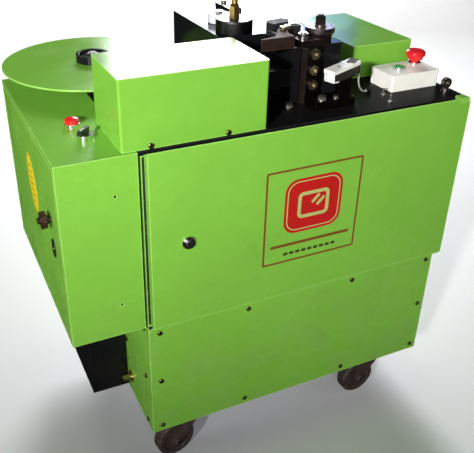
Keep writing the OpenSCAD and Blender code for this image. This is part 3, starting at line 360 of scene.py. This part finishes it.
# ---------------------------------------------------------------- pieces
def settle(obj, body, materials):
    """Links a new piece, gives it its finish or finishes and lets it ride."""
    if obj.name not in bpy.context.scene.collection.objects:
        bpy.context.scene.collection.objects.link(obj)
    which = [face.material_index for face in obj.data.polygons]
    obj.data.materials.clear()
    for material in materials if isinstance(materials, list) else [materials]:
        obj.data.materials.append(material)
    obj.data.polygons.foreach_set("material_index", which)
    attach(obj, body)
    return obj


def smooth(obj):
    """Soft shading with sharp edges above an angle."""
    mesh = bmesh.new()
    mesh.from_mesh(obj.data)
    for face in mesh.faces:
        face.smooth = True
    limit = math.radians(32)
    for edge in mesh.edges:
        edge.smooth = edge.calc_face_angle(math.pi) < limit
    mesh.to_mesh(obj.data)
    mesh.free()


def flatten(obj):
    """Lets the large flat faces keep their own normals next to rounded edges."""
    weigh = obj.modifiers.new("weigh", "WEIGHTED_NORMAL")
    weigh.keep_sharp = True
    weigh.weight = 100
    apply_all(obj)


def islands(mesh):
    """Gives each face the middle of the solid it belongs to, in millimetres of the machine."""
    middle, seen = {}, set()
    for start in mesh.faces:
        if start in seen:
            continue
        group, queue = [], [start]
        seen.add(start)
        while queue:
            face = queue.pop()
            group.append(face)
            for edge in face.edges:
                for other in edge.link_faces:
                    if other not in seen:
                        seen.add(other)
                        queue.append(other)
        points = [(v.co - ORIGIN) / MM for face in group for v in face.verts]
        spans = [[p[k] for p in points] for k in range(3)]
        centre = Vector([(min(span) + max(span)) / 2 for span in spans])
        for face in group:
            middle[face] = centre
    return middle


def soften(node, width, materials, rule):
    """A copy of a CAD node with its sharp edges rounded, shown in the node's place."""
    source = frame["nodes"][node]
    mesh = bmesh.new()
    mesh.from_mesh(source.data)
    bmesh.ops.remove_doubles(mesh, verts=mesh.verts, dist=2e-6)
    for face in mesh.faces:
        face.material_index = 0
    if rule:
        middle = islands(mesh)
        for face in mesh.faces:
            face.material_index = rule(middle[face], (face.calc_center_median() - ORIGIN) / MM)
    bmesh.ops.dissolve_limit(
        mesh, angle_limit=math.radians(0.6), verts=mesh.verts, edges=mesh.edges,
        use_dissolve_boundaries=False, delimit={"MATERIAL"},
    )
    data = bpy.data.meshes.new(node + "_shape")
    mesh.to_mesh(data)
    mesh.free()
    obj = bpy.data.objects.new(node + "_piece", data)
    bpy.context.scene.collection.objects.link(obj)
    bevel = obj.modifiers.new("edge", "BEVEL")
    bevel.width = width * MM
    bevel.segments = 2
    bevel.limit_method = "ANGLE"
    bevel.angle_limit = math.radians(34)
    bevel.use_clamp_overlap = True
    bevel.harden_normals = False
    apply_all(obj)
    smooth(obj)
    flatten(obj)
    settle(obj, NODE_BODY[node], materials or MATERIALS[NODE_SLOT[node]])
    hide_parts(node)


def apply_all(obj):
    """Bakes the modifiers of obj into its mesh."""
    graph = bpy.context.evaluated_depsgraph_get()
    data = bpy.data.meshes.new_from_object(obj.evaluated_get(graph))
    obj.modifiers.clear()
    obj.data = data


# how much the edges of each CAD node are rounded, in millimetres
SMALL_EDGE = 0.4
EDGE = {
    "front_door": 1.2, "side_door": 1.2, "control_box": 1.2, "front_guard": 1.6,
    "rear_guard": 1.6, "lower_panels": 0.7, "upper_cabinet": 0.8, "deck_plate": 0.8,
    "support_column": 1.2, "turntable_disc": 0.7, "turntable_hub": 1.0,
    "head_housing": 1.0, "clamp_plate": 0.8, "bar_guides": 0.8, "button_box": 1.2,
    "stop_button": 1.3, "start_button": 1.0, "selector_knob": 1.0, "latch_knob": 1.6,
}
# the limit switch: its middle in millimetres, and the turn that sets it askew
SWITCH = Vector((635, 71, 71.5))
SWITCH_TILT = math.radians(4)
SWITCH_TURN = math.radians(18)
SWITCH_FRAME = Matrix.Rotation(SWITCH_TURN, 3, "Z") @ Matrix.Rotation(-SWITCH_TILT, 3, "Y")


def switch_part(middle, face):
    """0 bracket, 1 body, 2 cover, 3 gland of the limit switch."""
    middle, face = (SWITCH_FRAME.transposed() @ (p - SWITCH) for p in (middle, face))
    if middle.x > 44:
        return 3
    return 2 if middle.z > 5 else int(face.z > -13.05)


# Nodes that don't simply have their slot's finish. A rule picks the finish of each face, from the
# middle of its solid (m) and the middle of the face (f) in millimetres of the machine.
MIXED = {
    "limit_switch": (
        [
            DARK_PLATE, MATERIALS["grey_metal"],
            MATERIALS["cream_plastic"], MATERIALS["black_plastic"],
        ],
        switch_part,
    ),
    "bar_guides": ([SCALED_STEEL, BLACK_BAR], lambda m, f: int(m.y > 160 or m.x > 555)),
    "roller_axles": ([MATERIALS["brass"], MATERIALS["bright_steel"]], lambda m, f: int(m.y > 320)),
    "small_roller": ([PALE_NYLON], None),
    "deck_plate": ([DECK_PAINT], None),
    "switch_wire": ([GREY_WIRE, DARK_PLATE], lambda m, f: int(f.x > 727)),
    "machine_bolts": ([MATERIALS["zinc"], DARK_STEEL], lambda m, f: int(m.x > 880 and m.y < 60)),
    "bending_arm": (
        [MATERIALS["tool_steel"], MATERIALS["bright_steel"]], lambda m, f: int(m.x < 580)
    ),
    "oil_tank": (
        [MATERIALS["tank_paint"], MATERIALS["black_plastic"]], lambda m, f: int(m.x < 300)
    ),
    "clamp_plate": ([DARK_PLATE], None),
    "cap_screws": ([OLIVE_ZINC], None),
    "panel_screws": ([DARK_SCREW], None),
    "spindle": ([DARK_STEEL], None),
    "latch_knob": ([BROWN_KNOB], None),
    "turntable_hub": ([MATERIALS["black_paint"]], None),
}
for corner in ("front_left", "front_right", "rear_left", "rear_right"):
    MIXED["castor_fork_" + corner] = (
        [MATERIALS["castor_steel"], MATERIALS["zinc"]], lambda m, f: int(m.z < -780)
    )
for node in frame["nodes"]:
    finishes, rule = MIXED.get(node, (None, None))
    soften(node, EDGE.get(node, SMALL_EDGE), finishes, rule)


# ---------------------------------------------------------------- mesh tools
def from_bmesh(name, mesh):
    """A new object with outward faces and soft shading."""
    data = bpy.data.meshes.new(name)
    bmesh.ops.recalc_face_normals(mesh, faces=mesh.faces)
    mesh.to_mesh(data)
    mesh.free()
    obj = bpy.data.objects.new(name, data)
    bpy.context.scene.collection.objects.link(obj)
    smooth(obj)
    return obj


def finish_piece(obj, body="machine", slot="zinc", material=None):
    """Settles a piece, in its slot's finish unless another one is given."""
    return settle(obj, body, material or MATERIALS[slot])


def facing(direction, spin=0.0):
    """Rotation that turns +Z to a direction, spun about it."""
    turn = Vector(direction).to_track_quat("Z", "Y").to_matrix().to_4x4()
    return turn @ Matrix.Rotation(spin, 4, "Z")


def put_at(name, mesh, place, direction, spin=0.0, **finish):
    """Moves a mesh made around the origin to its place and finishes it."""
    mesh.transform(Matrix.Translation(place) @ facing(direction, spin))
    return finish_piece(from_bmesh(name, mesh), **finish)


def level(mesh, outline, height):
    """An outline in millimetres as vertices at one height."""
    return [mesh.verts.new((x * MM, y * MM, height * MM)) for x, y in outline]


def angles(steps):
    """Equal steps around a circle."""
    return [2 * math.pi * i / steps for i in range(steps)]


def circle(mesh, radius, height, steps):
    """A ring of vertices; radius is a number or a function of the angle."""
    radii = [radius(a) if callable(radius) else radius for a in angles(steps)]
    return [
        mesh.verts.new((r * MM * math.cos(a), r * MM * math.sin(a), height * MM))
        for r, a in zip(radii, angles(steps))
    ]


def bridge(mesh, rings):
    """Faces between each ring and the next."""
    for low, high in zip(rings, rings[1:]):
        for i in range(len(low)):
            j = (i + 1) % len(low)
            mesh.faces.new((low[i], low[j], high[j], high[i]))


def capped(mesh, rings):
    """Faces between the rings, and one over each end."""
    bridge(mesh, rings)
    mesh.faces.new(rings[-1])
    mesh.faces.new(rings[0][::-1])


def lathe(name, place, direction, profile, **finish):
    """Turned piece: profile is (radius, height) in millimetres along direction."""
    mesh = bmesh.new()
    bridge(mesh, [circle(mesh, r, h, 48) for r, h in profile])
    return put_at(name, mesh, place, direction, **finish)


def slab(name, outline, low, high, place, direction, spin=0.0, **finish):
    """Flat piece: an outline in millimetres, extruded along direction from low to high."""
    mesh = bmesh.new()
    bottom, top = level(mesh, outline, low), level(mesh, outline, high)
    mesh.faces.new(bottom[::-1])
    mesh.faces.new(top)
    bridge(mesh, [bottom, top])
    return put_at(name, mesh, place, direction, spin, **finish)


def band(name, outer, inner, low, high, place, direction, spin=0.0, **finish):
    """Flat ring between two outlines with the same number of points."""
    mesh = bmesh.new()
    corners = ((outer, low), (outer, high), (inner, high), (inner, low))
    rings = [level(mesh, outline, height) for outline, height in corners]
    bridge(mesh, rings + rings[:1])
    return put_at(name, mesh, place, direction, spin, **finish)


def oval(a, b):
    """Outline of an ellipse with half axes a and b, centred."""
    return [(a * math.cos(t), b * math.sin(t)) for t in angles(48)]


def rounded(w, h, r, steps=6):
    """Outline of a rectangle with rounded corners, centred."""
    x, y = w / 2 - r, h / 2 - r
    points = []
    for cx, cy, start in ((x, y, 0), (-x, y, 90), (-x, -y, 180), (x, -y, 270)):
        for i in range(steps + 1):
            a = math.radians(start + 90 * i / steps)
            points.append((cx + r * math.cos(a), cy + r * math.sin(a)))
    return points


def socket_screw(name, place, direction, r, h, **finish):
    """Cap head with a hexagon recess and a rolled top edge."""
    part = math.pi / 3

    def hexagon(a):
        return r * 0.55 * math.cos(part / 2) / math.cos((a % part) - part / 2)

    mesh = bmesh.new()
    shape = ((r, 0), (r, h - r * 0.12), (r * 0.9, h), (hexagon, h), (hexagon, h * 0.4))
    capped(mesh, [circle(mesh, radius, height, 36) for radius, height in shape])
    return put_at(name, mesh, place, direction, **finish)


def cross_screw(name, place, direction, r, h, **finish):
    """Small domed head with a cross recess."""

    def cross(a):
        near = abs(((a + math.pi / 4) % (math.pi / 2)) - math.pi / 4)
        return r * (0.36 if near < 0.25 else 0.14)

    mesh = bmesh.new()
    shape = (
        (r, 0), (r, h * 0.35), (r * 0.92, h * 0.7), (r * 0.72, h * 0.92), (r * 0.4, h),
        (cross, h), (lambda a: cross(a) * 0.7, h * 0.45),
    )
    capped(mesh, [circle(mesh, radius, height, 32) for radius, height in shape])
    return put_at(name, mesh, place, direction, **finish)


# ---------------------------------------------------------------- labels
OCHRE = enamel("ochre_print", (0.19, 0.068, 0.006), 0.45, dust_amount=0.1)
RED_PRINT = enamel("red_print", (0.46, 0.006, 0.004), 0.5, dust_amount=0.05, shine=0.3)
PALE_PRINT = enamel("pale_print", (0.42, 0.46, 0.14), 0.5, dust_amount=0.05, shine=0.3)
DARK_PRINT = enamel("dark_print", (0.05, 0.06, 0.008), 0.45, dust_amount=0.05)
YELLOW = enamel("yellow_label", (0.85, 0.66, 0.010), 0.3, dust_amount=0.02)
BROWN_PRINT = enamel("brown_print", (0.24, 0.14, 0.008), 0.35, dust_amount=0.02)
SEAL = plastic("door_seal", (0.010, 0.010, 0.011), 0.55, 500, 0.4)

UP, FRONT, LEFT = (0, 0, 1), (0, -1, 0), (-1, 0, 0)
# lower and upper side of the prints, in millimetres from the sheet
PRINT = (0.01, 0.3)
SECOND_PRINT = (0.31, 0.4)
DOOR_FACE = -21.0
PANEL_X = 530
MARK = at(PANEL_X, DOOR_FACE, -174)


def on_door(shape, name, *place, material):
    """A print on the front door."""
    shape(name, *place, material=material, body="front_door", slot="green_paint")


on_door(
    band, "panel_line", rounded(232, 224, 5), rounded(223, 215, 3), 0.01, 0.25,
    at(PANEL_X, DOOR_FACE, -196), FRONT, material=OCHRE,
)
on_door(slab, "panel_mark", rounded(140, 128, 30), *PRINT, MARK, FRONT, material=RED_PRINT)
on_door(
    band, "panel_mark_line", rounded(128, 116, 25), rounded(123, 111, 23),
    *SECOND_PRINT, MARK, FRONT, material=PALE_PRINT,
)
on_door(
    band, "panel_stirrup", rounded(76, 62, 12), rounded(60, 46, 5),
    *SECOND_PRINT, MARK, FRONT, material=PALE_PRINT,
)
for k, (x, z) in enumerate(((17, 3), (5, 11))):
    on_door(
        slab, f"panel_hook_{k}", rounded(25, 7, 3), *SECOND_PRINT,
        MARK + Vector((x, 0, z)) * MM, FRONT, math.radians(-135), material=PALE_PRINT,
    )
on_door(
    slab, "panel_stripe", rounded(196, 7, 2), *PRINT,
    at(PANEL_X, DOOR_FACE, -264), FRONT, material=OCHRE,
)
for k in range(9):
    on_door(
        slab, f"panel_dash_{k}", rounded(11, 7, 2), *PRINT,
        at(PANEL_X + (k - 4) * 15, DOOR_FACE, -287), FRONT, material=DARK_PRINT,
    )

LABEL = at(0, 246.5, -145)
LABEL_TURN = math.radians(13)
ON_SIDE = {"body": "side_door", "slot": "green_paint"}
LABEL_PRINT = (0.36, 0.5)
slab("label_plate", oval(38, 67), 0.01, 0.35, LABEL, LEFT, LABEL_TURN, material=YELLOW, **ON_SIDE)
band(
    "label_rim", oval(35.5, 64.5), oval(34, 62.5), *LABEL_PRINT,
    LABEL, LEFT, LABEL_TURN, material=BROWN_PRINT, **ON_SIDE,
)
for k in range(7):
    height = (k - 3) * 13
    half = 19 * math.sqrt(1 - (height / 56) ** 2)
    shift = Matrix.Rotation(-LABEL_TURN, 3, "X") @ Vector((0, 0, height)) * MM
    slab(
        f"label_bar_{k}", rounded(2 * half, 3.4, 1.5), *LABEL_PRINT,
        LABEL + shift, LEFT, LABEL_TURN, material=BROWN_PRINT, **ON_SIDE,
    )

# ---------------------------------------------------------------- door seal and lock plate
# a black seal behind the front door; it also fills the gap around the door with black as painted
# shade
band(
    "door_seal", rounded(751, 385, 3), rounded(703, 342, 2), 0.05, 2.6,
    at(537.5, 0, -202), FRONT, slot="black_paint", material=SEAL,
)
band(
    "side_lock_plate", rounded(26, 40, 12.9), rounded(18.4, 18.4, 9.1), 0.02, 2.2,
    at(0, 75, -207), LEFT, body="side_door", slot="black_plastic",
)

# ---------------------------------------------------------------- small screws and marks
ROLLER_SCREW_CIRCLE = 29
for k in range(6):
    a = math.radians(60 * k)
    x = 481 + ROLLER_SCREW_CIRCLE * math.cos(a)
    y = 276 + ROLLER_SCREW_CIRCLE * math.sin(a)
    socket_screw(f"roller_screw_{k}", at(x, y, 145.1), UP, 2.85, 3.6, body="guide_roller")


def on_switch(x, y, z):
    """A point on the limit switch, in millimetres from its middle."""
    return at(*(SWITCH + SWITCH_FRAME @ Vector((x, y, z))))


SWITCH_UP = SWITCH_FRAME @ Vector(UP)
SWITCH_LEFT = SWITCH_FRAME @ Vector(LEFT)
SWITCH_FRONT = SWITCH_FRAME @ Vector(FRONT)
for k, x in enumerate((-14, 18)):
    cross_screw(
        f"switch_screw_{k}", on_switch(x, 0, 11.05), SWITCH_UP, 3.3, 2.3, material=DARK_SCREW
    )
for k, (x, y) in enumerate(((786, 88), (900, 88), (786, 154.5), (900, 154.5))):
    cross_screw(f"station_screw_{k}", at(x, y, 35.6), UP, 2.85, 1.9)
# ribs on the front of the switch, its pale end plate with a lip, and the dark end of its cover
for k in range(11):
    slab(
        f"switch_rib_{k}", rounded(1.5, 14, 0.6), 0.0, 0.8,
        on_switch(2 + 3.3 * k, -14, -4), SWITCH_FRONT, -SWITCH_TILT, slot="grey_metal",
    )
slab(
    "switch_end_plate", rounded(26, 17.4, 1.5), 0.0, 0.9,
    on_switch(-42, 0, -4), SWITCH_LEFT, slot="cream_plastic",
)
slab(
    "switch_end_lip", rounded(12, 2.6, 1.0), 0.0, 1.2,
    on_switch(-35.5, -14, -11.4), SWITCH_FRONT, -SWITCH_TILT, slot="cream_plastic",
)
for k, z in enumerate((-9, 1.5)):
    cross_screw(f"switch_end_screw_{k}", on_switch(-42.9, 8, z), SWITCH_LEFT, 1.9, 1.0)
slab(
    "switch_end_cap", rounded(19, 27, 1.5), 0.0, 0.5,
    on_switch(31.9, 0, 13), SWITCH_UP, SWITCH_TURN, slot="grey_metal", material=BLACK_BAR,
)
slab(
    "selector_mark", rounded(2.2, 13, 1), 0.0, 0.4,
    at(79.5, 95.5, 21.55), UP, math.radians(135), body="selector_knob", slot="cream_plastic",
)

# ---------------------------------------------------------------- swivel rings of the castors
SWIVEL_PROFILE = [(27.4, 0), (32, 0), (33.5, 2.5), (33.5, 6), (31, 9), (27.4, 9)]
for row, y in enumerate((48, 462)):
    for side, x in enumerate((264, 798)):
        lathe(f"swivel_ring_{row}{side}", at(x, y, -718.6), (0, 0, -1), SWIVEL_PROFILE)


# ---------------------------------------------------------------- louvres on the back
BACK = 510
LOUVRE_LEFT, LOUVRE_RIGHT = 324, 751
LOUVRE_DEPTH = 7.0
SHEET = 1.2


def louvres(name, rows):
    """Pressed hoods over the slots, open at their lower edge."""
    mesh = bmesh.new()
    columns, arc = 28, 7
    for low, high in rows:
        grid = []
        for i in range(columns + 1):
            u = i / columns
            x = LOUVRE_LEFT + (LOUVRE_RIGHT - LOUVRE_LEFT) * u
            end = min(1.0, min(u, 1 - u) * columns / 2.5)
            swell = math.sin(end * math.pi / 2)
            line = []
            for k in range(arc + 1):
                a = math.pi / 2 * k / arc
                out = 0.3 + LOUVRE_DEPTH * math.sin(a) * swell
                drop = (high + 6 - low) * (1 - math.cos(a)) ** 0.9
                line.append(mesh.verts.new(at(x, BACK + out, high + 5 - drop)))
            grid.append(line)
        for a, b in zip(grid, grid[1:]):
            for k in range(arc):
                mesh.faces.new((a[k], b[k], b[k + 1], a[k + 1]))
    obj = from_bmesh(name, mesh)
    shell = obj.modifiers.new("shell", "SOLIDIFY")
    shell.thickness = SHEET * MM
    shell.offset = -1
    apply_all(obj)
    smooth(obj)
    finish_piece(obj, slot="green_paint")


louvres("upper_louvres", [(-330 + 24 * i, -322 + 24 * i) for i in range(10)])
louvres("lower_louvres", [(-660 + 26 * i, -652 + 26 * i) for i in range(8)])


# ---------------------------------------------------------------- studio
def area(name, place, target, size, power, color=(1, 1, 1)):
    """A soft rectangular light at place, aimed at target."""
    data = bpy.data.lights.new(name, "AREA")
    data.shape = "RECTANGLE"
    data.size, data.size_y = size
    data.energy = power
    data.color = color
    lamp = bpy.data.objects.new(name, data)
    lamp.location = place
    lamp.rotation_euler = (Vector(target) - Vector(place)).to_track_quat("-Z", "Y").to_euler()
    bpy.context.scene.collection.objects.link(lamp)
    return lamp


area("window", (1.25, 2.8, 1.95), (0.0, -0.2, 0.97), (1.25, 1.5), 95, (0.96, 0.98, 1.0))
area("sky", (1.62, 2.0, 1.60), (0.3, 0.0, 0.9), (0.34, 0.5), 1.5, (0.25, 0.42, 1.0))
area("front", (-1.2, -3.2, 1.6), (0.0, 0.0, 0.9), (1.6, 1.2), 30)
area("fill", (2.6, -2.2, 2.0), (0, 0, 0.6), (1.6, 1.2), 8)
area("left", (-3.2, 0.2, 0.9), (-0.4, 0.0, 0.5), (1.2, 1.0), 14)
area("backdrop", (1.8, 5.2, 3.4), (1.8, 5.2, 0), (5.0, 4.5), 290).visible_glossy = False

# the key comes from the front left, low and far, and fades towards the floor
KEY_POWER = 800
KEY_PLACE = Vector((-2.6, -2.6, 2.12))
KEY_AIM = Vector((-0.25, -0.15, 1.22))
key_data = bpy.data.lights.new("key", "SPOT")
key_data.energy = KEY_POWER
key_data.spot_size = math.radians(40)
key_data.spot_blend = 1.0
key_data.shadow_soft_size = 0.12
key = bpy.data.objects.new("key", key_data)
key.location = KEY_PLACE
key.rotation_euler = (KEY_AIM - KEY_PLACE).to_track_quat("-Z", "Y").to_euler()
bpy.context.scene.collection.objects.link(key)

FLOOR = 20
floor_mesh = bpy.data.meshes.new("floor")
floor_mesh.from_pydata(
    [(-FLOOR, -FLOOR, 0), (FLOOR, -FLOOR, 0), (FLOOR, FLOOR, 0), (-FLOOR, FLOOR, 0)],
    [], [(0, 1, 2, 3)],
)
floor = bpy.data.objects.new("floor", floor_mesh)
bpy.context.scene.collection.objects.link(floor)
floor_paint = Paint("floor_paint")
floor_mesh.materials.append(
    floor_paint.finish(
        floor_paint.mix(floor_paint.noise(1.5, 3), (0.90, 0.90, 0.90), (0.95, 0.95, 0.95)),
        floor_paint.rise(floor_paint.noise(3, 3), 0.3, 0.7, 0.65, 0.75),
    )
)
floor.visible_glossy = False

# soft surroundings: brighter above and behind, dim in front
world = bpy.data.worlds.new("studio")
world.use_nodes = True
tree = world.node_tree
toward = tree.nodes.new("ShaderNodeSeparateXYZ")
tree.links.new(tree.nodes.new("ShaderNodeTexCoord").outputs["Generated"], toward.inputs[0])
parts = []
LEAST = 0.10
# axis, where the ramp starts and ends on it, and how much it adds
for output, low, high, most in ((1, -0.3, 1.0, 0.12), (2, 0.0, 1.0, 0.26)):
    ramp = tree.nodes.new("ShaderNodeMapRange")
    tree.links.new(toward.outputs[output], ramp.inputs["Value"])
    ramp.inputs["From Min"].default_value = low
    ramp.inputs["From Max"].default_value = high
    ramp.inputs["To Max"].default_value = most
    parts.append(ramp.outputs[0])
both = tree.nodes.new("ShaderNodeMath")
tree.links.new(parts[0], both.inputs[0])
tree.links.new(parts[1], both.inputs[1])
dim = tree.nodes.new("ShaderNodeMath")
tree.links.new(both.outputs[0], dim.inputs[0])
dim.inputs[1].default_value = LEAST
tree.links.new(dim.outputs[0], tree.nodes["Background"].inputs["Strength"])
bpy.context.scene.world = world
bpy.context.scene.view_settings.view_transform = "Standard"
